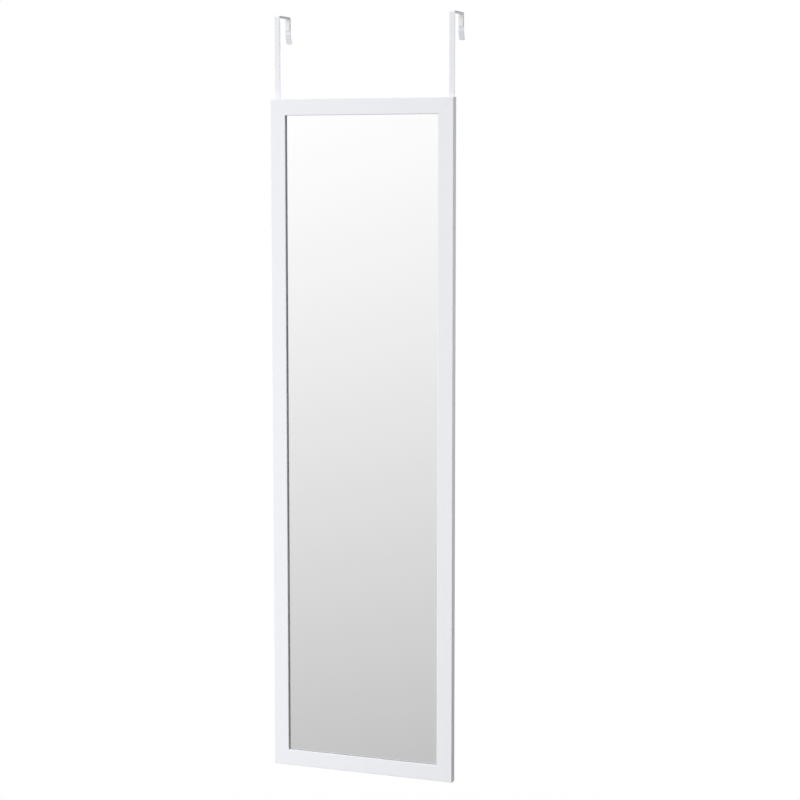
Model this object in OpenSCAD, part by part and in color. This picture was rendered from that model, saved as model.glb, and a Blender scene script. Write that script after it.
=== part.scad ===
// Over the door mirror: a mitred white frame with its glass, board and fixings, on two flat steel hooks.
// Millimetres. X runs to the right, Y from the mirror's front to its back, Z up.
// The origin lies midway between the hooks: the front pads rest on y = 0 and the top pads on z = 0.

/* [Frame] */
// Width of the frame over its outer edges
frame_w = 360; // [280:5:600]
// Height of the frame over its outer edges
frame_h = 1260; // [900:10:1800]
// Width of the moulding's front face
moulding_w = 30; // [26:1:60]
// Depth of the moulding from front to back
moulding_d = 15; // [13:0.5:30]
// Thickness of the moulding's lip in front of the glass
lip_d = 4; // [2:0.5:5]
// How far the rebate is cut in from the sight edge
rebate_w = 6; // [4:0.5:9]
// Radius along the front edges of the moulding
edge_r = 1.2; // [0.4:0.1:2]
// Radius along the outer rear edge of the moulding
rear_edge_r = 0.5; // [0.2:0.1:1]
// Width of the fine bevel along each side of the mitres' front edges
mitre_bevel = 0.2; // [0.1:0.05:0.4]
// Distance from the underside of the top pads down to the top of the frame
drop = 150; // [60:5:300]

/* [Mirror] */
// Thickness of the glass
glass_t = 2; // [2:0.5:5]
// Thickness of the silvering and its paint
silver_t = 0.2; // [0.1:0.05:0.5]
// Thickness of the backing board
board_t = 3; // [2:0.5:4]
// Gap between the glass or the board and each side of the rebate
rebate_gap = 1; // [0.5:0.25:2]
// Width of the ground bevel round the glass's front and back edges
glass_arris = 0.4; // [0.2:0.1:0.6]

/* [Hooks] */
// Width of the strap
strap_w = 10.5; // [8:0.5:16]
// Thickness of the strap
strap_t = 1.5; // [1:0.1:2]
// Distance from the side of the frame to the middle of the strap
strap_inset = 8.4; // [8.4:0.1:16]
// Outer radius of the strap's two bends
bend_r = 3; // [2.5:0.25:5]
// Clear gap between the front pad and the tail pad
door_gap = 43; // [35:1:60]
// How far the strap runs down behind the frame
strap_overlap = 66; // [60:1:120]
// Height of the tail's straight part, from the underside of the top pad down
tail_h = 29; // [24:1:60]
// Length of the tail's flared end
flare_l = 17.5; // [10:0.5:25]
// Angle of the flared end
flare_angle = 17; // [5:1:30]
// Radius at the corners of the strap's two ends
end_r = 2; // [0.5:0.5:4]

/* [Pads] */
// Thickness of the foam pads
pad_t = 2; // [2:0.5:4]
// How far each pad stays inside the strap's edges
pad_margin = 0.5; // [0.25:0.25:1.5]
// Length of the pad on the front leg
front_pad_l = 60; // [20:1:80]
// Length of the pad on the tail
tail_pad_l = 20; // [10:1:22]
// Gap between the pads at the corners of the hook
pad_corner = 1.5; // [1:0.25:3]
// Radius at the pads' corners
pad_r = 1; // [0.5:0.25:2]

/* [Screws] */
// Distance from the top of the frame to the upper screw
screw_top = 22; // [18:1:30]
// Distance between the two screws
screw_pitch = 30; // [15:1:30]
// Diameter of the screw's shank
shank_d = 3; // [2.5:0.1:3.5]
// Length of the screw under its head
screw_l = 11; // [8:0.5:12]
// Diameter of the screw's head
head_d = 6.6; // [5.5:0.1:7.5]
// Height of the screw's head
head_h = 1.7; // [1.2:0.1:1.8]
// Width of the cross recess in the head
recess_w = 3.4; // [2.5:0.1:4]
// Width of each slot of the cross
recess_slot = 1; // [0.6:0.1:1.4]
// Depth of the cross recess
recess_h = 1; // [0.5:0.1:1.1]
// Clearance round the shank in the strap's hole
hole_gap = 0.4; // [0.2:0.05:0.6]

/* [Corner nails] */
// Length of each leg of the V
nail_leg = 5; // [4:0.5:6]
// Thickness of the nail's steel
nail_t = 0.5; // [0.4:0.1:0.8]
// How deep the nail is driven
nail_h = 9; // [6:0.5:10]
// How far the nail lies under the surface
nail_sink = 0.3; // [0.1:0.1:0.5]
// Distance from the frame's corner to the first nail, along the mitre
nail_first = 9; // [8:0.5:10]
// Distance between the two nails of a corner
nail_pitch = 11; // [10:0.5:14]

/* [Framing points] */
// Length of a point
point_l = 15; // [12:0.5:18]
// How deep it is driven into the wood
point_in = 7; // [5:0.5:8]
// Width of a point
point_w = 6; // [4:0.5:9]
// Thickness of a point
point_t = 0.5; // [0.4:0.1:0.8]
// Points along each stile
stile_points = 6; // [4:1:10]
// Points along each rail
rail_points = 2; // [1:1:4]

/* [Bumpers] */
// Diameter of the bumpers
bumper_d = 14; // [10:1:20]
// Distance from the frame's outer edges to a bumper's middle
bumper_inset = 13; // [10:0.5:14]
// Radius round the bumper's rear edge
bumper_r = 1.5; // [0.5:0.25:2]

/* [Hidden] */

arc_fn = 64;
bore_fn = 48;
cut = 1;              // how far a cutting shape runs past the surface that it cuts

// the layers from the resting face forwards
strap_back = -pad_t;
frame_back = strap_back - strap_t;
frame_front = frame_back - moulding_d;
glass_front = frame_front + lip_d;
silver_front = glass_front + glass_t;
board_front = silver_front + silver_t;
board_back = board_front + board_t;

// the frame's height
frame_top = -drop;
frame_bottom = frame_top - frame_h;

// the pane and the board
opening_w = frame_w - 2 * moulding_w;
opening_h = frame_h - 2 * moulding_w;
pane_edge = moulding_w - rebate_w + rebate_gap;
pane_w = frame_w - 2 * pane_edge;
pane_h = frame_h - 2 * pane_edge;

// the hooks
strap_x = frame_w / 2 - strap_inset;
tail_front = door_gap + pad_t;
tail_back = tail_front + strap_t;
bridge_z = pad_t + strap_t;
strap_bottom = frame_top - strap_overlap;
bend_inner = bend_r - strap_t;

// the screws and their holes
screw_zs = [frame_top - screw_top, frame_top - screw_top - screw_pitch];
strap_hole_d = shank_d + 2 * hole_gap;
screw_tip = shank_d * 0.6;

// the framing points: each one's middle, along a side of the given length
function spread(count, length) = [for (i = [0:count - 1]) length * ((i + 0.5) / count - 0.5)];
point_tip = point_w / 2;

wood = [0.94, 0.94, 0.95];
powder_coat = [0.92, 0.92, 0.94];
foam = [0.97, 0.97, 0.97];
zinc = [0.75, 0.76, 0.78];
steel = [0.55, 0.57, 0.6];

// a square corner less its round, to cut a fillet of radius r at the origin
module corner_waste(r) {
    difference() {
        translate([-cut, -cut])
            square(r + cut);
        translate([r, r])
            circle(r, $fn = arc_fn);
    }
}

// turns what is drawn at the lower left corner to another corner
module to_corner(sx, sy) {
    mirror([sx < 0 ? 1 : 0, 0])
        mirror([0, sy < 0 ? 1 : 0])
            children();
}

// a rectangle with round corners, centred
module round_rect(w, h, r) {
    difference() {
        square([w, h], center = true);
        for (sx = [-1, 1], sy = [-1, 1])
            to_corner(sx, sy)
                translate([-w / 2, -h / 2])
                    corner_waste(r);
    }
}

// ---- the moulding ----

// section of the moulding: x from its outer edge to its sight edge, y from its front to its back
module moulding_section() {
    difference() {
        square([moulding_w, moulding_d]);
        translate([moulding_w - rebate_w, lip_d])
            square([rebate_w + cut, moulding_d - lip_d + cut]);
        corner_waste(edge_r);
        translate([moulding_w, 0])
            mirror([1, 0])
                corner_waste(edge_r);
        translate([0, moulding_d])
            mirror([0, 1])
                corner_waste(rear_edge_r);
    }
}

// a length of moulding along +X with its outer edge at z = 0, its front at y = 0 and both ends mitred
module moulding(length) {
    difference() {
        intersection() {
            rotate([90, 0, 90])
                linear_extrude(length)
                    mirror([-1, 1])
                        moulding_section();
            rotate([90, 0, 0])
                translate([0, 0, -moulding_d - cut])
                    linear_extrude(moulding_d + 2 * cut)
                        polygon([
                            [0, 0],
                            [length, 0],
                            [length - moulding_w, moulding_w],
                            [moulding_w, moulding_w]
                        ]);
        }
        mitre_bevel_waste();
        translate([length, 0, 0])
            mirror([1, 0, 0])
                mitre_bevel_waste();
    }
}

// the fine groove along the front of a mitre that starts at the origin
module mitre_bevel_waste() {
    rotate([0, -45, 0])
        rotate([45, 0, 0])
            translate([moulding_w / 2, 0, 0])
                cube([4 * moulding_w, mitre_bevel * sqrt(2), mitre_bevel * sqrt(2)], center = true);
}

module at_bottom_rail() {
    translate([-frame_w / 2, frame_front, frame_bottom])
        children();
}

module at_top_rail() {
    translate([frame_w / 2, frame_front, frame_top])
        rotate([0, 180, 0])
            children();
}

module at_left_stile() {
    translate([-frame_w / 2, frame_front, frame_top])
        rotate([0, 90, 0])
            children();
}

module at_right_stile() {
    translate([frame_w / 2, frame_front, frame_bottom])
        rotate([0, -90, 0])
            children();
}

module top_rail() {
    color(wood)
        difference() {
            at_top_rail()
                moulding(frame_w);
            nail_slots(1, -1);
            nail_slots(-1, -1);
            top_rail_points();
        }
}

module bottom_rail() {
    color(wood)
        difference() {
            at_bottom_rail()
                moulding(frame_w);
            nail_slots(1, 1);
            nail_slots(-1, 1);
            bottom_rail_points();
        }
}

module left_stile() {
    color(wood)
        difference() {
            at_left_stile()
                moulding(frame_h);
            nail_slots(1, -1);
            nail_slots(1, 1);
            left_stile_points();
            pilot_holes(-1);
        }
}

module right_stile() {
    color(wood)
        difference() {
            at_right_stile()
                moulding(frame_h);
            nail_slots(-1, -1);
            nail_slots(-1, 1);
            right_stile_points();
            pilot_holes(1);
        }
}

// ---- the pane, its silvering and the board ----

// a slab with its face across XZ, centred on the frame
module slab(w, h, front, thickness) {
    translate([0, front, frame_top - frame_h / 2])
        rotate([-90, 0, 0])
            linear_extrude(thickness)
                square([w, h], center = true);
}

// the two ground bevels along one edge of the pane
module arris_waste(length) {
    for (face = [0, glass_t])
        translate([0, face, 0])
            rotate([45, 0, 0])
                cube([length + 2 * cut, glass_arris * sqrt(2), glass_arris * sqrt(2)], center = true);
}

module mirror_glass() {
    color([0.80, 0.85, 0.86])
        difference() {
            slab(pane_w, pane_h, glass_front, glass_t);
            translate([0, glass_front, frame_top - frame_h / 2]) {
                for (side = [-1, 1]) {
                    translate([0, 0, side * pane_h / 2])
                        arris_waste(pane_w);
                    translate([side * pane_w / 2, 0, 0])
                        rotate([0, 90, 0])
                            arris_waste(pane_h);
                }
            }
        }
}

module mirror_silvering() {
    color([0.62, 0.65, 0.68])
        slab(pane_w - 2 * glass_arris, pane_h - 2 * glass_arris, silver_front, silver_t);
}

module backing_board() {
    color([0.55, 0.38, 0.24])
        slab(pane_w, pane_h, board_front, board_t);
}

// ---- the hooks ----

// section of a hook: x towards the tail, y up
module hook_section() {
    // the leg behind the frame and up to the first bend
    translate([frame_back, strap_bottom])
        square([strap_t, bridge_z - bend_r - strap_bottom]);
    translate([frame_back + bend_r, bridge_z - bend_r])
        bend();
    // the bridge between the leg and the tail
    translate([frame_back + bend_r, pad_t])
        square([tail_back - frame_back - 2 * bend_r, strap_t]);
    translate([tail_back - bend_r, bridge_z - bend_r])
        mirror([1, 0])
            bend();
    // the tail
    translate([tail_front, -tail_h])
        square([strap_t, bridge_z - bend_r + tail_h]);
    // the flare turns outwards about the tail's rear edge
    translate([tail_back, -tail_h])
        flare_bend();
    translate([tail_back, -tail_h])
        rotate(flare_angle)
            translate([-strap_t, -flare_l])
                square([strap_t, flare_l]);
}

// a quarter turn of the strap, from straight up to level, about the origin
module bend() {
    intersection() {
        difference() {
            circle(bend_r, $fn = arc_fn);
            circle(bend_inner, $fn = arc_fn);
        }
        translate([-bend_r, 0])
            square(bend_r);
    }
}

// the wedge between the tail and its flare, with a round front
module flare_bend() {
    intersection() {
        circle(strap_t, $fn = arc_fn);
        polygon([
            [0, 0],
            [-2 * strap_t, 0],
            [-2 * strap_t * cos(flare_angle), -2 * strap_t * sin(flare_angle)]
        ]);
    }
}

// what is cut away at the two corners of a strap's end that points down, about the end's middle
module end_waste() {
    rotate([90, 0, 0])
        translate([0, 0, -strap_t - cut])
            linear_extrude(2 * (strap_t + cut))
                for (sx = [-1, 1])
                    to_corner(sx, 1)
                        translate([-strap_w / 2, 0])
                            corner_waste(end_r);
}

module hook(side) {
    color(powder_coat)
        translate([side * strap_x, 0, 0])
            difference() {
                rotate([90, 0, 90])
                    translate([0, 0, -strap_w / 2])
                        linear_extrude(strap_w)
                            hook_section();
                translate([0, frame_back, strap_bottom])
                    end_waste();
                translate([0, tail_back, -tail_h])
                    rotate([flare_angle, 0, 0])
                        translate([0, -strap_t / 2, -flare_l])
                            end_waste();
                for (z = screw_zs)
                    translate([0, frame_back - cut, z])
                        rotate([-90, 0, 0])
                            cylinder(h = strap_t + 2 * cut, d = strap_hole_d, $fn = bore_fn);
            }
}

module left_hook() {
    hook(-1);
}

module right_hook() {
    hook(1);
}

// ---- the screws ----

// the shank alone, from under the head to the tip, also the shape of its pilot hole
module shank() {
    rotate([90, 0, 0]) {
        cylinder(h = screw_l - screw_tip, d = shank_d, $fn = bore_fn);
        translate([0, 0, screw_l - screw_tip])
            cylinder(h = screw_tip, d1 = shank_d, d2 = 0, $fn = bore_fn);
    }
}

// a low pan head with its cross recess, standing on y = 0
module pan_head() {
    crown = head_h * 0.45;
    rotate([-90, 0, 0])
        difference() {
            rotate_extrude($fn = bore_fn)
                intersection() {
                    square([head_d / 2, head_h]);
                    union() {
                        square([head_d / 2, head_h - crown]);
                        translate([0, head_h - crown])
                            square([head_d / 2 - crown, crown]);
                        translate([head_d / 2 - crown, head_h - crown])
                            circle(crown, $fn = arc_fn);
                    }
                }
            translate([0, 0, head_h - recess_h / 2 + cut / 2])
                for (turn = [0, 90])
                    rotate([0, 0, turn])
                        cube([recess_w, recess_slot, recess_h + cut], center = true);
        }
}

module screws(side) {
    color(zinc)
        for (z = screw_zs)
            translate([side * strap_x, strap_back, z]) {
                shank();
                pan_head();
            }
}

module pilot_holes(side) {
    for (z = screw_zs)
        translate([side * strap_x, strap_back, z])
            shank();
}

module left_hook_screws() {
    screws(-1);
}

module right_hook_screws() {
    screws(1);
}

// ---- the pads ----

module front_pad(side) {
    color(foam)
        translate([side * strap_x, strap_back, -pad_corner - front_pad_l / 2])
            rotate([-90, 0, 0])
                linear_extrude(pad_t)
                    round_rect(strap_w - 2 * pad_margin, front_pad_l, pad_r);
}

module top_pad(side) {
    color(foam)
        translate([side * strap_x, door_gap / 2, 0])
            linear_extrude(pad_t)
                round_rect(strap_w - 2 * pad_margin, door_gap - 2 * pad_corner, pad_r);
}

module tail_pad(side) {
    color(foam)
        translate([side * strap_x, door_gap, -pad_corner - tail_pad_l / 2])
            rotate([-90, 0, 0])
                linear_extrude(pad_t)
                    round_rect(strap_w - 2 * pad_margin, tail_pad_l, pad_r);
}

module left_front_pad() {
    front_pad(-1);
}

module left_top_pad() {
    top_pad(-1);
}

module left_tail_pad() {
    tail_pad(-1);
}

module right_front_pad() {
    front_pad(1);
}

module right_top_pad() {
    top_pad(1);
}

module right_tail_pad() {
    tail_pad(1);
}

// ---- the corner nails ----

// a V with its point at the origin and its legs opening along +X
module nail_outline() {
    for (turn = [-45, 45])
        rotate(turn)
            translate([0, -nail_t / 2])
                square([nail_leg, nail_t]);
    circle(nail_t / 2, $fn = arc_fn);
}

// the two nails of a corner, drawn out by above; sx and sz point from the corner into the frame
module nail_pair(sx, sz, above) {
    for (i = [0, 1])
        translate([-sx * frame_w / 2, frame_back - nail_sink + above, sz > 0 ? frame_bottom : frame_top])
            rotate([90, 0, 0])
                linear_extrude(nail_h + above)
                    rotate(atan2(sz, sx))
                        translate([nail_first + i * nail_pitch, 0])
                            nail_outline();
}

module corner_nails(sx, sz) {
    color(steel)
        nail_pair(sx, sz, 0);
}

module nail_slots(sx, sz) {
    nail_pair(sx, sz, nail_sink + cut);
}

module top_left_nails() {
    corner_nails(1, -1);
}

module top_right_nails() {
    corner_nails(-1, -1);
}

module bottom_left_nails() {
    corner_nails(1, 1);
}

module bottom_right_nails() {
    corner_nails(-1, 1);
}

// ---- the framing points ----

// one point lying on the board, driven outwards along -Z, with the rebate's wall at z = 0
module framing_point() {
    translate([0, board_back + point_t, 0])
        rotate([90, 0, 0])
            linear_extrude(point_t)
                polygon([
                    [-point_w / 2, point_l - point_in],
                    [-point_w / 2, point_tip - point_in],
                    [0, -point_in],
                    [point_w / 2, point_tip - point_in],
                    [point_w / 2, point_l - point_in]
                ]);
}

rebate_x = frame_w / 2 - moulding_w + rebate_w;
rebate_z = frame_h / 2 - moulding_w + rebate_w;

// a side's points: turn 0 is the bottom rail, 90 the right stile, 180 the top rail and 270 the left stile
module side_points(turn, count, length, wall) {
    color(zinc)
        translate([0, 0, frame_top - frame_h / 2])
            rotate([0, -turn, 0])
                for (along = spread(count, length))
                    translate([along, 0, -wall])
                        framing_point();
}

module bottom_rail_points() {
    side_points(0, rail_points, opening_w, rebate_z);
}

module right_stile_points() {
    side_points(90, stile_points, opening_h, rebate_x);
}

module top_rail_points() {
    side_points(180, rail_points, opening_w, rebate_z);
}

module left_stile_points() {
    side_points(270, stile_points, opening_h, rebate_x);
}

// ---- the bumpers ----

module bumper(side) {
    h = -frame_back;
    color(foam)
        translate([side * (frame_w / 2 - bumper_inset), frame_back, frame_bottom + bumper_inset])
            rotate([-90, 0, 0])
                rotate_extrude($fn = arc_fn)
                    difference() {
                        square([bumper_d / 2, h]);
                        translate([bumper_d / 2, h])
                            mirror([1, 0])
                                mirror([0, 1])
                                    corner_waste(bumper_r);
                    }
}

module left_bumper() {
    bumper(-1);
}

module right_bumper() {
    bumper(1);
}

top_rail();
bottom_rail();
left_stile();
right_stile();
mirror_glass();
mirror_silvering();
backing_board();
left_hook();
right_hook();
left_hook_screws();
right_hook_screws();
left_front_pad();
left_top_pad();
left_tail_pad();
right_front_pad();
right_top_pad();
right_tail_pad();
top_left_nails();
top_right_nails();
bottom_left_nails();
bottom_right_nails();
left_stile_points();
right_stile_points();
top_rail_points();
bottom_rail_points();
left_bumper();
right_bumper();
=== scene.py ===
# Over the door mirror: a mirror in a white frame, on two flat steel hooks.
# Metres, in the part's own frame: the hooks' front pads rest on y = 0 and their top pads on z = 0.
import math
from types import SimpleNamespace

import bmesh
import bpy
from mathutils import Matrix, Vector


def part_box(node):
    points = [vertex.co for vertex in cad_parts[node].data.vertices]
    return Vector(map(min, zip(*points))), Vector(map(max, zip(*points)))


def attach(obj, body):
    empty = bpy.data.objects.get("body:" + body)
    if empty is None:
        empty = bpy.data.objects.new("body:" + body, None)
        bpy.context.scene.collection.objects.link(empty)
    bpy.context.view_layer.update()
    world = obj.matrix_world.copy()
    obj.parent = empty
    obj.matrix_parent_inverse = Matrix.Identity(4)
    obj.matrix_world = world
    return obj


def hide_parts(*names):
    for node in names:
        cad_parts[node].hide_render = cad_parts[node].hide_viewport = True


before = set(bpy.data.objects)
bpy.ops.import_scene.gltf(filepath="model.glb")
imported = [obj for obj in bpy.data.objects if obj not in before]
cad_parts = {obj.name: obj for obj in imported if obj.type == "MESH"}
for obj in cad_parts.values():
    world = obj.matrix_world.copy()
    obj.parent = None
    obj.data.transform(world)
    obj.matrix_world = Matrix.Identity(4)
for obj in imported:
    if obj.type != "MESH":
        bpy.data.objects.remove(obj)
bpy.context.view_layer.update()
scene = bpy.context.scene
mm = 0.001
print("frame loaded:", len(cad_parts), "nodes")


# small helpers

def hexColour(text):
    # sRGB to linear
    channels = [int(text[i:i + 2], 16) / 255 for i in (1, 3, 5)]
    return [c / 12.92 if c <= 0.04045 else ((c + 0.055) / 1.055) ** 2.4 for c in channels] + [1.0]


def feed(tree, node, inputs):
    # an input takes a number, a hex colour, a socket, or a node whose first output is meant
    for key, value in inputs.items():
        if isinstance(value, bpy.types.Node):
            value = value.outputs[0]
        if isinstance(value, bpy.types.NodeSocket):
            tree.links.new(value, node.inputs[key])
        elif isinstance(value, str):
            node.inputs[key].default_value = hexColour(value)
        else:
            node.inputs[key].default_value = value


def addNode(tree, kind, inputs=None, **settings):
    node = tree.nodes.new(kind)
    for name, value in settings.items():
        setattr(node, name, value)
    feed(tree, node, inputs or {})
    return node


def link(piece):
    scene.collection.objects.link(piece)
    return piece


def asObject(name, mesh, *finishes):
    mesh.name = name
    if not mesh.materials:
        for finish in finishes:
            mesh.materials.append(finish)
    return link(bpy.data.objects.new(name, mesh))


def finishPiece(piece, slotName, *nodes):
    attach(piece, "root")
    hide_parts(*nodes)


def smoothByAngle(mesh, degrees):
    mesh.polygons.foreach_set("use_smooth", [True] * len(mesh.polygons))
    mesh.set_sharp_from_angle(angle=math.radians(degrees))


def evaluatedMesh(holder):
    # the mesh with its modifiers applied; the object that held them goes
    bpy.context.view_layer.update()
    mesh = bpy.data.meshes.new_from_object(holder.evaluated_get(bpy.context.evaluated_depsgraph_get()))
    bpy.data.objects.remove(holder)
    return mesh


def boxOf(node):
    low, high = (Vector(corner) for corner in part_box(node))
    return SimpleNamespace(low=low, high=high, size=high - low, centre=(low + high) / 2)


# camera: to the right of the mirror, a little above its middle, as in the photograph

cameraSettings = {
    "place": (1.41098, -3.49635, -0.29068),
    "turn": 20.978,            # degrees, towards the left
    "tilt": 6.265,             # degrees, downwards
    "lens": 91.894,            # mm
    "sensor": 36,              # mm
    "sight": 50,               # metres, how far it sees
}


def makeCamera(s):
    camera = link(bpy.data.objects.new("photoCamera", bpy.data.cameras.new("photoCamera")))
    camera.data.lens = s["lens"]
    camera.data.sensor_width = s["sensor"]
    camera.data.clip_end = s["sight"]
    camera.location = s["place"]
    camera.rotation_euler = (math.radians(90 - s["tilt"]), 0, math.radians(s["turn"]))
    scene.camera = camera


makeCamera(cameraSettings)
scene.view_settings.view_transform = "Standard"    # whites stay white


# studio: a white room, darker on the right, that grows darker towards the floor in front of the mirror

roomSettings = {
    "lowLight": 0.428,         # in front, well below the mirror's horizon
    "highLight": 1.063,        # in front, at the horizon and above it
    "lowSlope": -0.385,        # sines of the angles between which the front grows lighter
    "highSlope": 0.03,
    "curve": 1.09,             # above 1, it stays light a little longer
    "frontShades": (           # axis of a unit direction, where it sets in, where it is full, its gain
        ("Z", 0.05, 0.3, 1.7, "SMOOTHSTEP"),         # above eye level, lighter
        ("Z", 0.5, 0.95, 0.8, "SMOOTHSTEP"),         # straight overhead, a little less so
    ),
    "behindLight": 1.0,        # behind the mirror, level all over
    "behindFrom": -0.15,       # depths of a unit direction between which the front turns into it
    "behindTo": 0.35,
    "roomShades": (
        ("X", 0.05, 0.9, 0.05, "SMOOTHSTEP"),        # far to the right, dark
        ("X", -0.45, -0.95, 0.65, "SMOOTHSTEP"),     # far to the left, greyer
        ("X", -0.42, -0.33, 0.96, "LINEAR"),         # across what the mirror shows, hardly
    ),
    "paper": 1.0,              # what the eye sees behind the object: plain white
}


def makeRoom(s):
    world = bpy.data.worlds.new("studioRoom")
    scene.world = world
    world.use_nodes = True
    tree = world.node_tree
    sight = addNode(tree, "ShaderNodeTexCoord").outputs["Generated"]
    direction = addNode(tree, "ShaderNodeSeparateXYZ", {0: sight})

    def shaded(light, shades):
        for axis, start, full, gain, shape in shades:
            shade = addNode(tree, "ShaderNodeMapRange", {
                "Value": direction.outputs[axis], "From Min": start, "From Max": full,
                "To Min": 1.0, "To Max": gain}, interpolation_type=shape)
            light = addNode(tree, "ShaderNodeMath", {0: light, 1: shade}, operation="MULTIPLY")
        return light

    drop = addNode(tree, "ShaderNodeMapRange", {
        "Value": direction.outputs["Z"], "From Min": s["highSlope"], "From Max": s["lowSlope"]})
    bent = addNode(tree, "ShaderNodeMath", {0: drop, 1: s["curve"]}, operation="POWER")
    front = addNode(tree, "ShaderNodeMapRange", {
        "Value": bent, "To Min": s["highLight"], "To Max": s["lowLight"]})
    behind = addNode(tree, "ShaderNodeMapRange", {
        "Value": direction.outputs["Y"], "From Min": s["behindFrom"], "From Max": s["behindTo"]},
        interpolation_type="SMOOTHSTEP")
    room = addNode(tree, "ShaderNodeMix", {
        "Factor": behind, "A": shaded(front, s["frontShades"]), "B": s["behindLight"]})
    toEye = addNode(tree, "ShaderNodeLightPath").outputs["Is Camera Ray"]
    seen = addNode(tree, "ShaderNodeMix", {
        "Factor": toEye, "A": shaded(room, s["roomShades"]), "B": s["paper"]})
    feed(tree, tree.nodes["Background"], {"Strength": seen, "Color": "#ffffff"})


makeRoom(roomSettings)

lampSettings = {               # place, size in metres, watts, height it is aimed at
    "keyLight": ((-1.5, -0.9, -0.9), (0.5, 2.4), 14.8, -0.9),
    "topLight": ((1.3, 0.1, 0.6), (0.6, 0.6), 3.0, -0.6),
    "fillLight": ((1.2, -3.0, -0.3), (1.2, 1.6), 3.0, -0.6),
    "sideLight": ((0.9, 0.2, -0.65), (0.3, 0.3), 0.95, -0.65),
    "backLight": ((-1.3, 1.1, 0.5), (0.6, 0.6), 4.0, -0.6),
}


def makeLamp(name, place, size, watts, target):
    lamp = link(bpy.data.objects.new(name, bpy.data.lights.new(name, "AREA")))
    lamp.data.shape = "RECTANGLE"
    lamp.data.size, lamp.data.size_y = size
    lamp.data.energy = watts
    lamp.location = place
    lamp.rotation_euler = (Vector((0, 0, target)) - lamp.location).to_track_quat("-Z", "Y").to_euler()
    lamp.visible_camera = False
    lamp.visible_glossy = False
    lamp.visible_transmission = False


for lampName, lampValues in lampSettings.items():
    makeLamp(lampName, *lampValues)

floorSettings = {
    "height": -2.03,           # well under the frame, which ends at -1.41
    "radius": 2.2,
    "solidShare": 0.3,         # of the radius; it fades out over the rest
    "sides": 96,
    "colour": "#f4f4f4", "roughness": 0.7,
}


def makeFloor(s):
    ground = bmesh.new()
    bmesh.ops.create_circle(ground, cap_ends=True, segments=s["sides"], radius=s["radius"])
    bmesh.ops.translate(ground, verts=ground.verts, vec=(0, 0, s["height"]))
    mesh = bpy.data.meshes.new("studioFloor")
    ground.to_mesh(mesh)
    ground.free()
    # matt white floor paint, even, that fades out towards the rim
    material = bpy.data.materials.new("paintedFloor")
    material.use_nodes = True
    tree = material.node_tree
    point = addNode(tree, "ShaderNodeTexCoord").outputs["Object"]
    place = addNode(tree, "ShaderNodeVectorMath", {0: point, 1: (1, 1, 0)}, operation="MULTIPLY")
    radius = addNode(tree, "ShaderNodeVectorMath", {0: place}, operation="LENGTH")
    fade = addNode(tree, "ShaderNodeMapRange", {
        "Value": radius.outputs["Value"], "From Min": s["solidShare"] * s["radius"],
        "From Max": s["radius"], "To Min": 1.0, "To Max": 0.0}, interpolation_type="SMOOTHERSTEP")
    feed(tree, tree.nodes["Principled BSDF"], {
        "Base Color": s["colour"], "Roughness": s["roughness"], "Alpha": fade})
    floor = asObject("studioFloor", mesh, material)
    floor.visible_glossy = False
    floor.visible_diffuse = False      # the room alone lights the object


makeFloor(floorSettings)
print("camera and studio ready")


# materials

usualNoise = (0.3, 0.7)        # most of a noise texture's values lie between these


def grain(tree, size, detail=3, stretch=(1, 1, 1), distortion=0, evenness=0.5, between=None):
    # noise whose blobs are about `size` metres wide; `between` spreads it over a range of its own
    point = addNode(tree, "ShaderNodeTexCoord").outputs["Object"]
    place = addNode(tree, "ShaderNodeMapping", {"Vector": point, "Scale": stretch})
    noise = addNode(tree, "ShaderNodeTexNoise", {
        "Vector": place, "Scale": 1 / size, "Detail": detail, "Roughness": evenness,
        "Distortion": distortion}).outputs["Fac"]
    if between is None:
        return noise
    return addNode(tree, "ShaderNodeMapRange", {
        "Value": noise, "From Min": usualNoise[0], "From Max": usualNoise[1],
        "To Min": between[0], "To Max": between[1]})


def newMaterial(name):
    material = bpy.data.materials.new(name)
    material.use_nodes = True
    return material, material.node_tree, material.node_tree.nodes["Principled BSDF"]


mouldingSettings = {
    "foil": "#ecedf1", "foilLow": "#ebecf0", "foilGrain": {"size": 30 * mm, "detail": 2},
    "foilRoughness": (0.36, 0.44), "glossGrain": {"size": 2.5 * mm},
    "board": "#ccae88", "boardDark": "#b4946c", "bareRoughness": 0.9,
    "fibres": {"size": 0.8 * mm, "detail": 6, "stretch": (1, 1, 0.6), "evenness": 0.65},
    "seam": "#6b5136", "seamShare": 0.8,       # the mitre's hairline, and how much of its colour shows
    "seamReach": (0.09 * mm, 0.15 * mm),       # off the mitre, where it begins to fade and where it ends
    "halfWidth": 180 * mm, "halfHeight": 630 * mm, "middle": -780 * mm,    # the frame, about its z
    "fold": (3.8 * mm, 4.2 * mm),              # width of the foil that is turned over onto the back
    "foldGrain": {"size": 9 * mm},
    "backFrom": -3.6 * mm,     # y just in front of the moulding's back
    "rebateFrom": -14.4 * mm,  # y just behind the lip
    "rebateEdge": 23.8 * mm,   # from the outer edge, just short of the rebate's wall
    "mitreSlant": 0.49,        # x times z of a normal, which is 0.5 on a mitre's face
    "depth": 0.12 * mm,        # of the whole relief, and shares of it:
    "foilHeight": 0.9, "embossHeight": 0.08, "fibreHeight": 0.6,
    "embossGrain": {"size": 0.7 * mm, "detail": 1},
}


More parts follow.
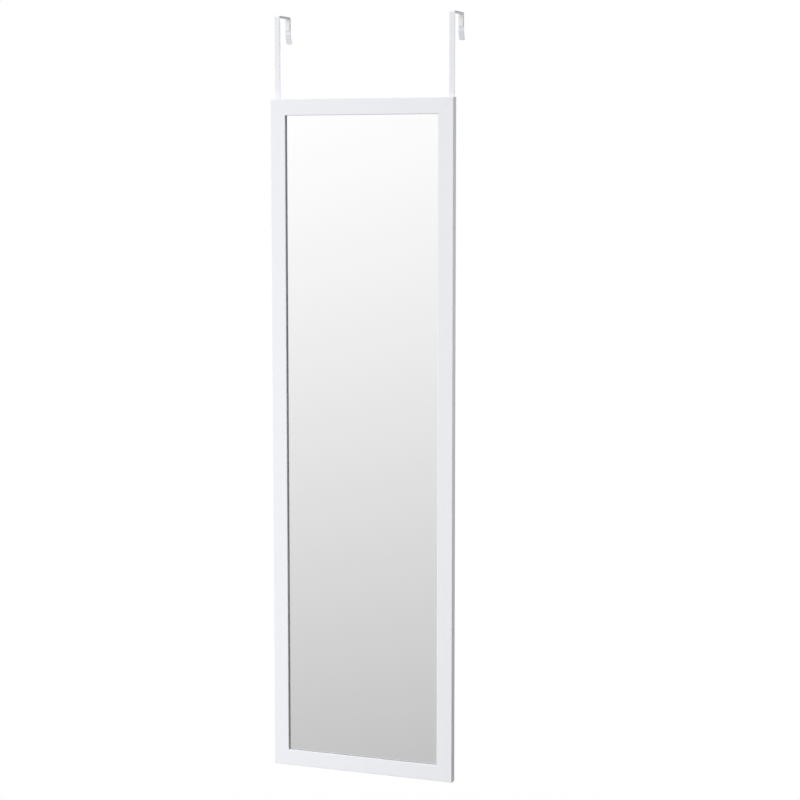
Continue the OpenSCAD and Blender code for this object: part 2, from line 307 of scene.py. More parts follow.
def makeFoiledFibreboard(s):
    # satin white decor foil glued round a fibreboard moulding: even, cool white with a faint emboss.
    # The back and the rebate stay bare: pale brown, matt and fibrous
    material, tree, shader = newMaterial("foiledFibreboard")
    point = addNode(tree, "ShaderNodeTexCoord").outputs["Object"]
    place = addNode(tree, "ShaderNodeSeparateXYZ", {0: point})
    normal = addNode(tree, "ShaderNodeNewGeometry").outputs["True Normal"]
    facing = addNode(tree, "ShaderNodeSeparateXYZ", {0: normal})

    # distances from the outer edges
    across = addNode(tree, "ShaderNodeMath", {0: place.outputs["X"]}, operation="ABSOLUTE")
    rise = addNode(tree, "ShaderNodeMath", {0: place.outputs["Z"], 1: s["middle"]}, operation="SUBTRACT")
    upDown = addNode(tree, "ShaderNodeMath", {0: rise}, operation="ABSOLUTE")
    fromSide = addNode(tree, "ShaderNodeMath", {0: s["halfWidth"], 1: across}, operation="SUBTRACT")
    fromEnd = addNode(tree, "ShaderNodeMath", {0: s["halfHeight"], 1: upDown}, operation="SUBTRACT")
    fromEdge = addNode(tree, "ShaderNodeMath", {0: fromSide, 1: fromEnd}, operation="MINIMUM")
    skew = addNode(tree, "ShaderNodeMath", {0: fromSide, 1: fromEnd}, operation="SUBTRACT")
    fromMitre = addNode(tree, "ShaderNodeMath", {0: skew}, operation="ABSOLUTE")

    # where no foil lies: the mitres' faces, the back inside the fold, and the rebate
    slant = addNode(tree, "ShaderNodeMath", {0: facing.outputs["X"], 1: facing.outputs["Z"]},
                    operation="MULTIPLY")
    steep = addNode(tree, "ShaderNodeMath", {0: slant}, operation="ABSOLUTE")
    bare = addNode(tree, "ShaderNodeMath", {0: steep, 1: s["mitreSlant"]}, operation="GREATER_THAN")
    foldEdge = grain(tree, **s["foldGrain"], between=s["fold"])
    for plane, border in ((s["backFrom"], foldEdge), (s["rebateFrom"], s["rebateEdge"])):
        deep = addNode(tree, "ShaderNodeMath", {0: place.outputs["Y"], 1: plane},
                       operation="GREATER_THAN")
        within = addNode(tree, "ShaderNodeMath", {0: fromEdge, 1: border}, operation="GREATER_THAN")
        both = addNode(tree, "ShaderNodeMath", {0: deep, 1: within}, operation="MULTIPLY")
        bare = addNode(tree, "ShaderNodeMath", {0: bare, 1: both}, operation="MAXIMUM")

    foil = addNode(tree, "ShaderNodeMix", {
        0: grain(tree, **s["foilGrain"], between=(0, 1)), 6: s["foilLow"], 7: s["foil"]},
        data_type="RGBA")
    wood = addNode(tree, "ShaderNodeMix", {
        0: grain(tree, **s["fibres"], between=(0, 1)), 6: s["boardDark"], 7: s["board"]},
        data_type="RGBA")
    seam = addNode(tree, "ShaderNodeMapRange", {
        "Value": fromMitre, "From Min": s["seamReach"][0], "From Max": s["seamReach"][1],
        "To Min": s["seamShare"], "To Max": 0.0})
    seamed = addNode(tree, "ShaderNodeMix", {0: seam, 6: wood.outputs[2], 7: s["seam"]}, data_type="RGBA")
    colour = addNode(tree, "ShaderNodeMix", {
        0: bare, 6: foil.outputs[2], 7: seamed.outputs[2]}, data_type="RGBA")
    satin = grain(tree, **s["glossGrain"], between=s["foilRoughness"])
    roughness = addNode(tree, "ShaderNodeMix", {"Factor": bare, "A": satin, "B": s["bareRoughness"]})
    emboss = addNode(tree, "ShaderNodeMath", {
        0: grain(tree, **s["embossGrain"]), 1: s["embossHeight"], 2: s["foilHeight"]},
        operation="MULTIPLY_ADD")
    nap = addNode(tree, "ShaderNodeMath", {0: grain(tree, **s["fibres"]), 1: s["fibreHeight"]},
                  operation="MULTIPLY")
    height = addNode(tree, "ShaderNodeMix", {"Factor": bare, "A": emboss, "B": nap})
    relief = addNode(tree, "ShaderNodeBump", {"Height": height, "Distance": s["depth"]})
    feed(tree, shader, {"Base Color": colour.outputs[2], "Roughness": roughness, "Normal": relief})
    return material


hardboardSettings = {
    "dark": "#5b3c25", "light": "#8f6743",
    "fibres": {"size": 2.2 * mm, "detail": 6, "stretch": (1, 1, 2.2), "distortion": 0.6, "evenness": 0.7},
    "blotch": "#86603e",
    "blotches": {"size": 70 * mm, "detail": 4, "stretch": (1, 1, 0.4), "evenness": 0.6},
    "blotchShare": (0, 0.5),
    "meshPitch": 2 * mm,       # a little coarser than the real 1.5 mm, to show in the render
    "meshEdge": (0.2, 1.0),    # heights of the mesh's waves: in its hollows up to the first, a ridge at the second
    "meshStray": 1.5,          # radians by which its lines wander
    "strayGrain": {"size": 20 * mm, "detail": 2},
    # painted shade: the darker brown that the mesh's hollows are drawn towards, and how far
    "hollowShade": "#48301e", "hollowShadeShare": 0.35,
    "roughness": (0.68, 0.86),
    "depth": 0.25 * mm,        # of the relief, and shares of it:
    "fibreHeight": 0.5, "meshHeight": -0.5,
}


def makeHardboard(s):
    # wet process hardboard, screen side out: dark brown fibres with the press screen's mesh in them, and
    # painted shade darkening the mesh's hollows
    material, tree, shader = newMaterial("pressedHardboard")
    point = addNode(tree, "ShaderNodeTexCoord").outputs["Object"]
    place = addNode(tree, "ShaderNodeSeparateXYZ", {0: point})
    stray = addNode(tree, "ShaderNodeMath", {0: grain(tree, **s["strayGrain"]), 1: s["meshStray"]},
                    operation="MULTIPLY")
    waves = []
    for axis in ("X", "Z"):
        turns = addNode(tree, "ShaderNodeMath", {
            0: place.outputs[axis], 1: 2 * math.pi / s["meshPitch"], 2: stray}, operation="MULTIPLY_ADD")
        waves.append(addNode(tree, "ShaderNodeMath", {0: turns}, operation="SINE"))
    crests = addNode(tree, "ShaderNodeMath", {0: waves[0], 1: waves[1]}, operation="MAXIMUM")
    hollows = addNode(tree, "ShaderNodeMapRange", {
        "Value": crests, "From Min": s["meshEdge"][0], "From Max": s["meshEdge"][1],
        "To Min": 1.0, "To Max": 0.0})
    brown = addNode(tree, "ShaderNodeMix", {
        0: grain(tree, **s["fibres"], between=(0, 1)), 6: s["dark"], 7: s["light"]}, data_type="RGBA")
    blotched = addNode(tree, "ShaderNodeMix", {
        0: grain(tree, **s["blotches"], between=s["blotchShare"]), 6: brown.outputs[2], 7: s["blotch"]},
        data_type="RGBA")
    # painted shade in the mesh's hollows, on top of their relief
    shade = addNode(tree, "ShaderNodeMath", {0: hollows, 1: s["hollowShadeShare"]}, operation="MULTIPLY")
    colour = addNode(tree, "ShaderNodeMix", {
        0: shade, 6: blotched.outputs[2], 7: s["hollowShade"]}, data_type="RGBA")
    nap = addNode(tree, "ShaderNodeMath", {0: grain(tree, **s["fibres"]), 1: s["fibreHeight"]},
                  operation="MULTIPLY")
    height = addNode(tree, "ShaderNodeMath", {0: hollows, 1: s["meshHeight"], 2: nap},
                     operation="MULTIPLY_ADD")
    relief = addNode(tree, "ShaderNodeBump", {"Height": height, "Distance": s["depth"]})
    roughness = grain(tree, **s["fibres"], between=s["roughness"])
    feed(tree, shader, {"Base Color": colour.outputs[2], "Roughness": roughness, "Normal": relief})
    return material


foamSettings = {
    "cell": 0.7 * mm,          # coarser than real, so that the cells show
    "rim": (0.15, 0.75),       # distances from a cell's middle, in cells, over which its rim sets in
    "colour": "#f9f9fa", "rimColour": "#ededef", "roughness": 0.92,
}


def makeFoam(s):
    # closed cell foam tape: matt white with a skin of tiny cells
    material, tree, shader = newMaterial("closedCellFoam")
    point = addNode(tree, "ShaderNodeTexCoord").outputs["Object"]
    cells = addNode(tree, "ShaderNodeTexVoronoi", {"Vector": point, "Scale": 1 / s["cell"]})
    rim = addNode(tree, "ShaderNodeMapRange", {
        "Value": cells.outputs["Distance"], "From Min": s["rim"][0], "From Max": s["rim"][1]})
    colour = addNode(tree, "ShaderNodeMix", {0: rim, 6: s["colour"], 7: s["rimColour"]}, data_type="RGBA")
    feed(tree, shader, {"Base Color": colour.outputs[2], "Roughness": s["roughness"]})
    return material


orangePeel = {"size": 1.1 * mm, "detail": 2}
zincCloud = {"size": 1.6 * mm, "detail": 4, "distortion": 0.4}
rollLines = {"size": 0.4 * mm, "stretch": (1, 0.08, 1)}
feltFibres = {"size": 0.9 * mm, "detail": 6, "stretch": (1, 1, 0.35), "distortion": 2, "evenness": 0.7}

# sockets that are the same all over, then a dark and a light colour, a low and a high roughness, and
# a relief's depth and strength, each with the grain that it follows
finishSettings = {
    # clear float glass: colourless and flat, with the float bath's faint wave
    "clearFloatGlass": {
        "sockets": {"Base Color": "#fefefe", "Roughness": 0.0, "Transmission Weight": 1.0, "IOR": 1.52},
        "relief": (0.002 * mm, 0.2, {"size": 90 * mm, "detail": 1, "stretch": (0.3, 1, 1)}),
    },
    # wet silvered glass: a bright mirror without colour
    "mirrorSilver": {
        "sockets": {"Base Color": "#fafafa", "Metallic": 1.0},
        "roughness": (0.0, 0.012, {"size": 60 * mm, "detail": 2}),
    },
    # the grey lacquer that seals the silver: eggshell, with a curtain coater's faint unevenness
    "mirrorBackingPaint": {
        "sockets": {"Roughness": 0.45},
        "colours": ("#757b80", "#868c91", {"size": 12 * mm, "detail": 4}),
        "relief": (0.03 * mm, 0.5, {"size": 1.5 * mm}),
    },
    # baked powder coat on steel: cool white, half gloss, with a fine orange peel
    "whitePowderCoat": {
        "sockets": {"Coat Weight": 0.12, "Coat Roughness": 0.2},
        "colours": ("#e6e8ee", "#e9ebf0", {"size": 9 * mm}),
        "roughness": (0.28, 0.38, orangePeel),
        "relief": (0.02 * mm, 0.5, orangePeel),
    },
    # bright zinc plate on a rolled screw: cool grey, lightly clouded
    "zincPlatedScrew": {
        "sockets": {"Metallic": 1.0},
        "colours": ("#b3b7bd", "#d2d5da", zincCloud),
        "roughness": (0.22, 0.36, zincCloud),
        "relief": (0.01 * mm, 0.6, {"size": 0.5 * mm}),
    },
    # the same plate on punched strip: a little darker and duller
    "zincPlatedStrip": {
        "sockets": {"Metallic": 1.0},
        "colours": ("#a2a6ab", "#c3c6ca", zincCloud),
        "roughness": (0.3, 0.45, zincCloud),
        "relief": (0.01 * mm, 0.6, {"size": 0.5 * mm}),
    },
    # bare cold rolled strip: grey and bright, with the roll's lines along it
    "rolledSteel": {
        "sockets": {"Metallic": 1.0},
        "colours": ("#9b9da0", "#babcbf", rollLines),
        "roughness": (0.25, 0.4, rollLines),
        "relief": (0.01 * mm, 0.6, rollLines),
    },
    # needled wool felt: off-white and fibrous, with a soft nap
    "needledFelt": {
        "sockets": {"Roughness": 1.0, "Sheen Weight": 0.35},
        "colours": ("#d9d8d3", "#f1f0ec", feltFibres),
        "relief": (0.3 * mm, 0.8, feltFibres),
    },
}


def makeFinish(name, s):
    material, tree, shader = newMaterial(name)
    feed(tree, shader, s["sockets"])
    if "colours" in s:
        dark, light, pattern = s["colours"]
        colour = addNode(tree, "ShaderNodeMix", {
            0: grain(tree, **pattern, between=(0, 1)), 6: dark, 7: light}, data_type="RGBA")
        feed(tree, shader, {"Base Color": colour.outputs[2]})
    if "roughness" in s:
        low, high, pattern = s["roughness"]
        feed(tree, shader, {"Roughness": grain(tree, **pattern, between=(low, high))})
    if "relief" in s:
        depth, strength, pattern = s["relief"]
        relief = addNode(tree, "ShaderNodeBump", {
            "Height": grain(tree, **pattern), "Distance": depth, "Strength": strength})
        feed(tree, shader, {"Normal": relief})
    return material


materials = {name: makeFinish(name, s) for name, s in finishSettings.items()}
materials["foiledFibreboard"] = makeFoiledFibreboard(mouldingSettings)
materials["pressedHardboard"] = makeHardboard(hardboardSettings)
materials["closedCellFoam"] = makeFoam(foamSettings)
print("materials ready:", len(materials))


# what keeps its solid from the part

keptNodes = {
    "foiledFibreboard": ("top_rail", "bottom_rail", "left_stile", "right_stile"),
    "pressedHardboard": ("backing_board",),
    "rolledSteel": ("top_left_nails", "top_right_nails", "bottom_left_nails", "bottom_right_nails"),
}

for finishName, finishNodes in keptNodes.items():
    for keptNode in finishNodes:
        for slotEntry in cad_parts[keptNode].material_slots:
            slotEntry.material = materials[finishName]
print("frame, board and nails dressed")


# flat plates: an outline with holes, given a thickness and rounded edges

plateWeld = 0.001 * mm         # points closer than this are one
plateEdgeSteps = 2


def arcPoints(centre, radius, first, last, steps):
    angles = [math.radians(first + (last - first) * i / steps) for i in range(steps + 1)]
    return [(centre[0] + radius * math.cos(a), centre[1] + radius * math.sin(a)) for a in angles]


def roundedOutline(width, length, corner, steps):
    x, y = width / 2 - corner, length / 2 - corner
    points = []
    for centre, first in (((x, y), 0), ((-x, y), 90), ((-x, -y), 180), ((x, -y), 270)):
        points += arcPoints(centre, corner, first, first + 90, steps)
    return points


def cutPlate(outlines, thickness, edgeRound):
    curve = bpy.data.curves.new("plate", "CURVE")
    curve.dimensions = "2D"
    curve.fill_mode = "BOTH"
    curve.extrude = thickness / 2 - edgeRound
    curve.bevel_depth = edgeRound
    curve.bevel_resolution = plateEdgeSteps
    curve.offset = -edgeRound
    for outline in outlines:
        spline = curve.splines.new("POLY")
        spline.points.add(len(outline) - 1)
        for point, (x, y) in zip(spline.points, outline):
            point.co = (x, y, 0, 1)
        spline.use_cyclic_u = True
    mesh = evaluatedMesh(link(bpy.data.objects.new("plate", curve)))
    shape = bmesh.new()
    shape.from_mesh(mesh)
    bmesh.ops.remove_doubles(shape, verts=shape.verts, dist=plateWeld)
    bmesh.ops.recalc_face_normals(shape, faces=shape.faces)
    bpy.data.meshes.remove(mesh)
    return shape


def toMesh(shape, name, smoothAngle):
    mesh = bpy.data.meshes.new(name)
    shape.to_mesh(mesh)
    shape.free()
    smoothByAngle(mesh, smoothAngle)
    # wide faces keep their own normal, so that only the narrow rounded ones beside them shade softly
    holder = link(bpy.data.objects.new(name, mesh))
    holder.modifiers.new("normals", "WEIGHTED_NORMAL").keep_sharp = True
    return evaluatedMesh(holder)


# hooks: a flat blank with two holes, bent twice to make the bridge and once for the tail's flare

hookSettings = {
    "width": 10.5 * mm, "thickness": 1.5 * mm, "edgeRound": 0.3 * mm,
    "endRadius": 2 * mm, "endSteps": 8,
    "bottom": (-2.75 * mm, -216 * mm),     # y and z of the leg's lower end, mid thickness
    # length along the middle, which is radius times angle on an arc, turn in degrees, and cuts
    "bends": (
        (216.5 * mm, 0, 1),
        (2.25 * mm * math.radians(90), 90, 12),
        (44 * mm, 0, 1),
        (2.25 * mm * math.radians(90), 90, 12),
        (29.5 * mm, 0, 1),
        (0.75 * mm * math.radians(17), -17, 4),
        (17.5 * mm, 0, 1),
    ),
    "cutSnap": 1e-8,           # how near a cut a point counts as on it
    "bendWeld": 0.012 * mm,    # points that meet on the inside of the flare's bend
    "holes": (14 * mm, 44 * mm),           # from the leg's lower end
    "holeRadius": 1.9 * mm,
    "holePoints": 32,
    "smoothAngle": 35,
}


def bentPoint(s, along, outwards):
    # follows the strip's middle for `along`, then steps off it towards the outside of the hook
    y, z = s["bottom"]
    heading = 0.0
    for index, (length, turn, _) in enumerate(s["bends"]):
        step = along if index == len(s["bends"]) - 1 else min(along, length)
        bend = math.radians(turn) * step / length
        if turn:
            radius = length / math.radians(turn)
            y += radius * (math.cos(heading) - math.cos(heading + bend))
            z += radius * (math.sin(heading + bend) - math.sin(heading))
        else:
            y += step * math.sin(heading)
            z += step * math.cos(heading)
        heading += bend
        along -= step
        if along <= 0:
            break
    return y - outwards * math.cos(heading), z + outwards * math.sin(heading)


def makeHook(node, s):
    middle = boxOf(node).centre.x
    total = sum(length for length, _, _ in s["bends"])
    blankOutline = roundedOutline(s["width"], total, s["endRadius"], s["endSteps"])
    outlines = [[(x, y + total / 2) for x, y in blankOutline]]
    for height in s["holes"]:
        outlines.append(arcPoints((0, height), s["holeRadius"], 0, 360 - 360 / s["holePoints"],
                                  s["holePoints"] - 1))
    blank = cutPlate(outlines, s["thickness"], s["edgeRound"])
    station = 0.0
    for length, _, cuts in s["bends"][:-1]:
        for i in range(1, cuts + 1):
            bmesh.ops.bisect_plane(blank, geom=blank.verts[:] + blank.edges[:] + blank.faces[:],
                                   plane_co=(0, station + length * i / cuts, 0), plane_no=(0, 1, 0),
                                   dist=s["cutSnap"])
        station += length
    for vertex in blank.verts:
        x, along, outwards = vertex.co
        y, z = bentPoint(s, along, outwards)
        vertex.co = (middle + x, y, z)
    bmesh.ops.remove_doubles(blank, verts=blank.verts, dist=s["bendWeld"])
    bmesh.ops.recalc_face_normals(blank, faces=blank.faces)
    mesh = toMesh(blank, node, s["smoothAngle"])
    piece = asObject(node.replace("_", "-") + "-bar", mesh, materials["whitePowderCoat"])
    finishPiece(piece, "powder_coated_steel", node)


for hookNode in ("left_hook", "right_hook"):
    makeHook(hookNode, hookSettings)
print("hooks bent")


# pads, bumpers, the pane and its silver: rings of one outline, one above the other

leastCorner = 0.1 * mm         # a sharper one would put a corner's points in one place
leastStraight = 0.002 * mm     # left between a round ring's corners, for the same reason


def closeLoft(shape, loops):
    # walls from each loop to the next, and a face at either end
    for lower, upper in zip(loops, loops[1:]):
        for i in range(len(lower)):
            j = (i + 1) % len(lower)
            shape.faces.new((lower[i], lower[j], upper[j], upper[i]))
    shape.faces.new(loops[0][::-1])
    shape.faces.new(loops[-1])


def loft(rings, steps):
    # each ring is width, length, corner radius and height
    shape = bmesh.new()
    loops = []
    for width, length, corner, height in rings:
        corner = min(max(corner, leastCorner), (min(width, length) - leastStraight) / 2)
        outline = roundedOutline(width, length, corner, steps)
        loops.append([shape.verts.new((x, y, height)) for x, y in outline])
    closeLoft(shape, loops)
    return shape


def placeShape(shape, centre, outwards):
    # turns a shape that was built up along z to look `outwards`, with the middle of its foot at `centre`
    along = outwards.cross(Vector((1, 0, 0)))
    turn = Matrix(((1, along.x, outwards.x), (0, along.y, outwards.y), (0, along.z, outwards.z))).to_4x4()
    bmesh.ops.transform(shape, matrix=Matrix.Translation(centre) @ turn, verts=shape.verts)


padSettings = {
    "faces": {                 # which way each pad's free face looks
        "left_front_pad": (0, 1, 0), "right_front_pad": (0, 1, 0),
        "left_top_pad": (0, 0, -1), "right_top_pad": (0, 0, -1),
        "left_tail_pad": (0, -1, 0), "right_tail_pad": (0, -1, 0),
    },
    "corner": 1.3 * mm,
    "foot": (0.1 * mm, 0.1 * mm),          # how far the glued edge draws in, and how high
    "waist": (0.12 * mm, 1 * mm),          # how far the cut sides draw in, and at what height
    "brow": 0,                 # how far they draw in again under the rim
    "rim": 0.45 * mm,          # soft radius where the face turns into the side
    "rimSteps": 4,
    "crown": 0.12 * mm,        # how much lower the face lies at its rim than in its middle
    "crownSteps": (0.15, 0.35, 0.6, 0.85, 1),
    "flat": 0.2 * mm,          # half the width of the face's flat middle
    "steps": 6, "smoothAngle": 50,
    "material": "closedCellFoam", "slot": "foam_pad", "ending": "-foam",
}

bumperSettings = {
    "faces": {"left_bumper": (0, 1, 0), "right_bumper": (0, 1, 0)},
    "corner": 7 * mm,          # they are round, 14 mm across
    "foot": (0.15 * mm, 0.2 * mm),
    "waist": (0.15 * mm, 1.2 * mm),
    "brow": 0.05 * mm,
    "rim": 1.3 * mm,
    "rimSteps": 6,
    "crown": 0.15 * mm,
    "crownSteps": (0.2, 0.5, 0.8, 1),
    "flat": 0.4 * mm,
    "steps": 12, "smoothAngle": 50,
    "material": "needledFelt", "slot": "bumper", "ending": "-felt",
}


def cushionRings(s, width, length, thickness):
    # a foot, sides with a waist, a soft rim and a face that rises to its middle, as rings for loft
    shoulder = thickness - s["crown"]
    drawIn, rise = s["foot"]
    profile = [(drawIn, 0), (0, rise), s["waist"], (s["brow"], shoulder - s["rim"])]
    for i in range(1, s["rimSteps"] + 1):
        angle = math.radians(90 * i / s["rimSteps"])
        profile.append((s["rim"] * (1 - math.cos(angle)), shoulder - s["rim"] * (1 - math.sin(angle))))
    reach = width / 2 - s["rim"] - s["flat"]
    for share in s["crownSteps"]:
        lift = s["crown"] * math.sin(share * math.pi / 2)
        profile.append((s["rim"] + reach * share, shoulder + lift))
    return [(width - 2 * inset, length - 2 * inset, s["corner"] - inset, height)
            for inset, height in profile]


def makeCushion(node, outwards, s):
    box = boxOf(node)
    outwards = Vector(outwards)
    thin = 1 if outwards.y else 2      # the axis that its thickness lies along
    thickness = box.size[thin]
    shape = loft(cushionRings(s, box.size.x, box.size[3 - thin], thickness), s["steps"])
    placeShape(shape, box.centre - outwards * thickness / 2, outwards)
    mesh = toMesh(shape, node, s["smoothAngle"])
    piece = asObject(node.replace("_", "-") + s["ending"], mesh, materials[s["material"]])
    finishPiece(piece, s["slot"], node)


for cushionSettings in (padSettings, bumperSettings):
    for cushionNode, wayOut in cushionSettings["faces"].items():
        makeCushion(cushionNode, wayOut, cushionSettings)
print("pads and bumpers stuck on")

paneSettings = {
    "name": "mirror-pane", "slot": "mirror_glass", "materials": ("clearFloatGlass",),
    "grown": -0.02 * mm,       # leaves a clearance between the glass and the frame's lip
    "corner": 0.5 * mm, "steps": 3,
    "backEdge": 0.3 * mm, "frontEdge": 0.3 * mm,     # ground off the sharp edges
    "smoothAngle": 30,
}

silverSettings = {
    "name": "mirror-silvering", "slot": "silvering", "materials": ("mirrorBackingPaint", "mirrorSilver"),
    "grown": 0.01 * mm,        # starts a hair inside the glass, as no air lies between them
    "corner": 0.6 * mm, "steps": 3,
    "backEdge": 0.06 * mm, "frontEdge": 0.03 * mm,
    "smoothAngle": 30,
}


def makeSheet(node, s):
    # built from its back to its front, whose face takes the last of the materials
    box = boxOf(node)
    thickness = box.size.y + s["grown"]
    profile = ((s["backEdge"], 0), (0, s["backEdge"]),
               (0, thickness - s["frontEdge"]), (s["frontEdge"], thickness))
    shape = loft([(box.size.x - 2 * inset, box.size.z - 2 * inset, s["corner"], height)
                  for inset, height in profile], s["steps"])
    shape.faces.ensure_lookup_table()
    shape.faces[-1].material_index = len(s["materials"]) - 1
    placeShape(shape, (box.centre.x, box.high.y, box.centre.z), Vector((0, -1, 0)))
    mesh = toMesh(shape, node, s["smoothAngle"])
    piece = asObject(s["name"], mesh, *(materials[name] for name in s["materials"]))
    finishPiece(piece, s["slot"], node)


makeSheet("mirror_glass", paneSettings)
makeSheet("mirror_silvering", silverSettings)
print("pane and silver layer laid")


# a geometry node tree that sets out the small fixings in rows

def newTree(name, sizes):
    tree = bpy.data.node_groups.new(name, "GeometryNodeTree")
    tree.interface.new_socket("Geometry", in_out="OUTPUT", socket_type="NodeSocketGeometry")
    for label, kind in sizes.items():
        tree.interface.new_socket(label, in_out="INPUT", socket_type="NodeSocket" + kind)
    return tree, addNode(tree, "NodeGroupInput").outputs


def growTree(name, tree, values):
    holder = link(bpy.data.objects.new(name, bpy.data.meshes.new(name)))
    modifier = holder.modifiers.new("build", "NODES")
    modifier.node_group = tree
    for item in tree.interface.items_tree:
        if item.in_out == "INPUT":
            modifier[item.identifier] = values[item.name]
    return evaluatedMesh(holder)


def rowTree():
    tree, given = newTree("rowOfFixings", {
        "Fixing": "Object", "Count": "Int", "Start": "Vector", "Step": "Vector", "Turn": "Vector",
        "Material": "Material"})
    line = addNode(tree, "GeometryNodeMeshLine", {
        "Count": given["Count"], "Start Location": given["Start"], "Offset": given["Step"]},
        mode="OFFSET")
    fixing = addNode(tree, "GeometryNodeObjectInfo", {"Object": given["Fixing"]})
    turned = addNode(tree, "FunctionNodeEulerToRotation", {0: given["Turn"]})
    placed = addNode(tree, "GeometryNodeInstanceOnPoints", {
        "Points": line, "Instance": fixing.outputs["Geometry"], "Rotation": turned})
    real = addNode(tree, "GeometryNodeRealizeInstances", {0: placed})
    dressed = addNode(tree, "GeometryNodeSetMaterial", {"Geometry": real, "Material": given["Material"]})
    addNode(tree, "NodeGroupOutput", {0: dressed})
    return tree


fixingRow = rowTree()


# screws: pan head with a cross recess, and a coarse thread for fibreboard

screwSettings = {
    "head": (                  # mm, radius and height, from its rim up to its middle
        (3.3, 0), (3.3, 0.5), (3.22, 0.85), (2.95, 1.18), (2.5, 1.42), (1.9, 1.58), (1.1, 1.67),
        (0, 1.7)),
    "headHeight": 1.7 * mm,
    "core": 1.05 * mm, "crest": 1.5 * mm, "length": 11 * mm, "tip": 1.8 * mm, "plainNeck": 0.7 * mm,
    "threadPitch": 1.3 * mm,
    "threadRows": ((0, 0), (0.2, 1), (0.4, 0)),      # turns up from a ridge's foot, share of its height
    "threadStart": -1.1,       # turns from the tip to the first foot
    "spareTurns": 3,           # so that the rows reach past both ends
    "threadFade": 0.5,         # turns over which the ridge dies out under the neck
    "threadWeld": 0.002 * mm,  # rows that are held at an end melt together
    "recessWide": 3.4 * mm, "recessSlot": 0.95 * mm, "recessDepth": 1.1 * mm,
    "recessFoot": 0.45,        # its width at the bottom, as a share of the mouth's
    "recessOver": 0.2 * mm,    # how far the cutter stands out of the head
    "recessTurn": 31,          # degrees; a driven screw never stops square
    "sides": 40, "bodyAngle": 35, "smoothAngle": 32,
    "count": 2, "fromTop": 22 * mm, "spacing": 30 * mm,        # down the stile from the frame's top
    "turn": -90,               # degrees, which lays the thread forwards
    "rows": {"left_hook_screws": "left_hook", "right_hook_screws": "right_hook"},
}


def lathe(profile, sides):
    # profile points are radius and height; it stays open where it starts and closes on the axis
    shape = bmesh.new()
    rings = []
    for radius, height in profile:
        if radius == 0:
            rings.append([shape.verts.new((0, 0, height))])
        else:
            rings.append([shape.verts.new((radius * math.cos(a), radius * math.sin(a), height))
                          for a in (2 * math.pi * i / sides for i in range(sides))])
    for lower, upper in zip(rings, rings[1:]):
        for i in range(sides):
            j = (i + 1) % sides
            corners = [lower[i], lower[j], upper[j % len(upper)], upper[i % len(upper)]]
            shape.faces.new(list(dict.fromkeys(corners)))
    return shape


def windThread(shape, s):
    # a skin wound round the core, a few rows of points to a turn with one of them out on the crest.
    # Rows that would pass either end are held there
    top, bottom, pitch = -s["plainNeck"], -s["length"], s["threadPitch"]
    turns = math.ceil((top - bottom) / pitch) + s["spareTurns"]
    levels = [(turn + s["threadStart"] + step, out)
              for turn in range(turns) for step, out in s["threadRows"]]
    rows = []
    for level, out in levels:
        row = []
        for i in range(s["sides"]):
            angle = 2 * math.pi * i / s["sides"]
            height = min(max(bottom + pitch * (level + i / s["sides"]), bottom), top)
            taper = min(1, (height - bottom) / s["tip"])
            fade = (top - height) / (s["threadFade"] * pitch)
            radius = s["core"] * taper + out * (s["crest"] - s["core"]) * min(taper, fade)
            row.append(shape.verts.new((radius * math.cos(angle), radius * math.sin(angle), height)))
        rows.append(row)
    perTurn = len(s["threadRows"])
    for j, (lower, upper) in enumerate(zip(rows, rows[1:])):
        for i in range(s["sides"] - 1):
            shape.faces.new((lower[i], lower[i + 1], upper[i + 1], upper[i]))
        if j + perTurn + 1 < len(rows):      # a row's end meets the start of the same row one turn on
            shape.faces.new((lower[-1], rows[j + perTurn][0], rows[j + perTurn + 1][0], upper[-1]))
    bmesh.ops.remove_doubles(shape, verts=shape.verts, dist=s["threadWeld"])
    bmesh.ops.recalc_face_normals(shape, faces=shape.faces)


def crossRecess(s):
    # a cross that tapers towards the bottom, its slots half as much as its arms
    shape = bmesh.new()
    loops = []
    foot = (s["headHeight"] - s["recessDepth"], s["recessFoot"])
    mouth = (s["headHeight"] + s["recessOver"], 1.0)
    for height, share in (foot, mouth):
        far, near = s["recessWide"] / 2 * share, s["recessSlot"] / 2 * (1 + share) / 2
        loop = []
        for quarter in range(4):
            turn = Matrix.Rotation(math.radians(90 * quarter + s["recessTurn"]), 3, "Z")
            loop += [shape.verts.new(turn @ Vector(corner)) for corner in (
                (near, near, height), (near, far, height), (-near, far, height))]
        loops.append(loop)
    closeLoft(shape, loops)
    return shape


def turnScrew(s):
    profile = [(s["core"], -s["plainNeck"]), (s["core"], 0)]
    profile += [(radius * mm, height * mm) for radius, height in s["head"]]
    shape = lathe(profile, s["sides"])
    windThread(shape, s)
    solid = link(bpy.data.objects.new("screwBody", toMesh(shape, "screwBody", s["bodyAngle"])))
    cutter = link(bpy.data.objects.new("recess", toMesh(crossRecess(s), "recess", s["bodyAngle"])))
    cut = solid.modifiers.new("recess", "BOOLEAN")
    cut.operation = "DIFFERENCE"
    cut.object = cutter
    cut.solver = "EXACT"
    mesh = evaluatedMesh(solid)
    bpy.data.objects.remove(cutter)
    smoothByAngle(mesh, s["smoothAngle"])
    return link(bpy.data.objects.new("screw", mesh))


def makeScrews(s):
    screw = turnScrew(s)
    highest = boxOf("left_stile").high.z - s["fromTop"]
    for node, hook in s["rows"].items():
        seat = boxOf(node).high.y - s["headHeight"]
        mesh = growTree(node, fixingRow, {
            "Fixing": screw, "Count": s["count"], "Start": (boxOf(hook).centre.x, seat, highest),
            "Step": (0, 0, -s["spacing"]), "Turn": (math.radians(s["turn"]), 0, 0),
            "Material": materials["zincPlatedScrew"]})
        piece = asObject(node.replace("_", "-"), mesh, materials["zincPlatedScrew"])
        finishPiece(piece, "zinc_plated_screw", node)
    bpy.data.objects.remove(screw)


makeScrews(screwSettings)
print("screws driven")


# framing points: flat arrow-shaped strips pressed into the rebate to hold the board

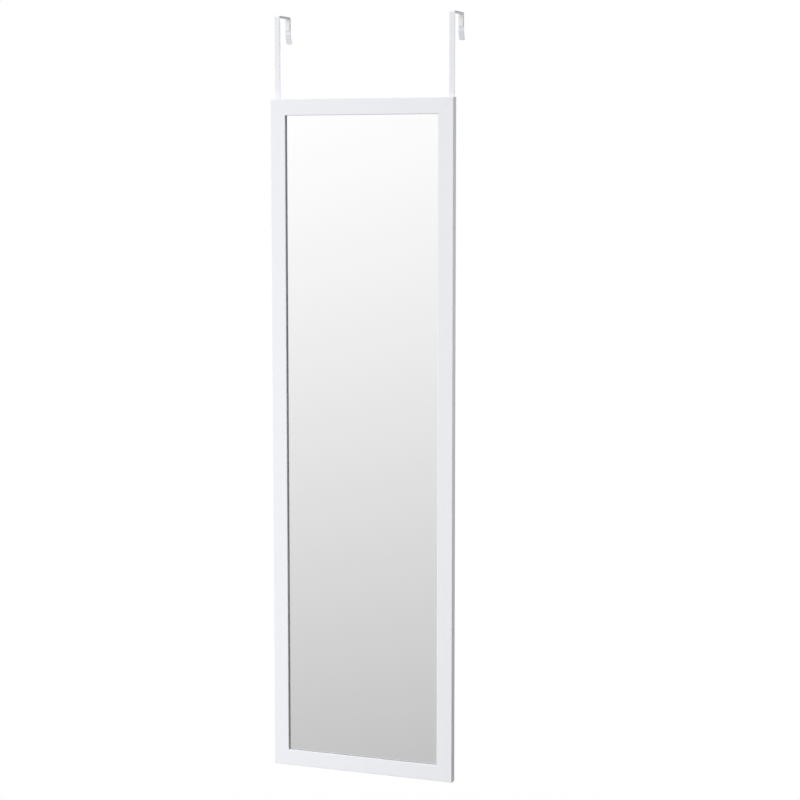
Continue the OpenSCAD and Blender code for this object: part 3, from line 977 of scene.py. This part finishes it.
pointSettings = {
    "outline": (               # mm, tip down, with the wall at 0
        (-3, 8), (-3, -4), (-0.25, -6.9), (0.25, -6.9), (3, -4), (3, 8)),
    "corner": 0.7,             # mm
    "cornerSteps": 4,
    "thickness": 0.5 * mm, "edgeRound": 0.08 * mm, "smoothAngle": 35,
    "depth": 7 * mm,           # of the tips in the wood
    "rows": {                  # way to the wall, turn in degrees, count, first one off the middle, step
        "left_stile_points": ((-1, 0, 0), 90, 6, -500 * mm, 200 * mm),
        "right_stile_points": ((1, 0, 0), -90, 6, -500 * mm, 200 * mm),
        "top_rail_points": ((0, 0, 1), 180, 2, -75 * mm, 150 * mm),
        "bottom_rail_points": ((0, 0, -1), 0, 2, -75 * mm, 150 * mm),
    },
}


def softCorners(outline, radius, steps):
    # cuts each corner of an outline back into a short curve
    rounded = []
    for i, corner in enumerate(outline):
        here = Vector(corner)
        before, after = Vector(outline[i - 1]), Vector(outline[(i + 1) % len(outline)])
        reach = min(radius, (before - here).length / 2, (after - here).length / 2)
        start = here + (before - here).normalized() * reach
        end = here + (after - here).normalized() * reach
        for t in (step / steps for step in range(steps + 1)):
            point = start * (1 - t) ** 2 + here * 2 * t * (1 - t) + end * t ** 2
            rounded.append((point.x * mm, point.y * mm))
    return rounded


def makeFramingPoints(s):
    outline = softCorners(s["outline"][::-1], s["corner"], s["cornerSteps"])
    plate = cutPlate([outline], s["thickness"], s["edgeRound"])
    bmesh.ops.rotate(plate, verts=plate.verts, matrix=Matrix.Rotation(math.radians(90), 3, "X"))
    fixing = link(bpy.data.objects.new("framingPoint", toMesh(plate, "framingPoint", s["smoothAngle"])))
    for node, (toWall, turn, count, first, step) in s["rows"].items():
        box = boxOf(node)
        toWall = Vector(toWall)
        along = Vector((abs(toWall.z), 0, abs(toWall.x)))
        wall = abs(toWall.dot(box.size)) / 2 - s["depth"]
        mesh = growTree(node, fixingRow, {
            "Fixing": fixing, "Count": count, "Start": box.centre + toWall * wall + along * first,
            "Step": along * step, "Turn": (0, math.radians(turn), 0),
            "Material": materials["zincPlatedStrip"]})
        piece = asObject(node.replace("_", "-"), mesh, materials["zincPlatedStrip"])
        finishPiece(piece, "zinc_plated_strip", node)
    bpy.data.objects.remove(fixing)


makeFramingPoints(pointSettings)
print("framing points pressed in")
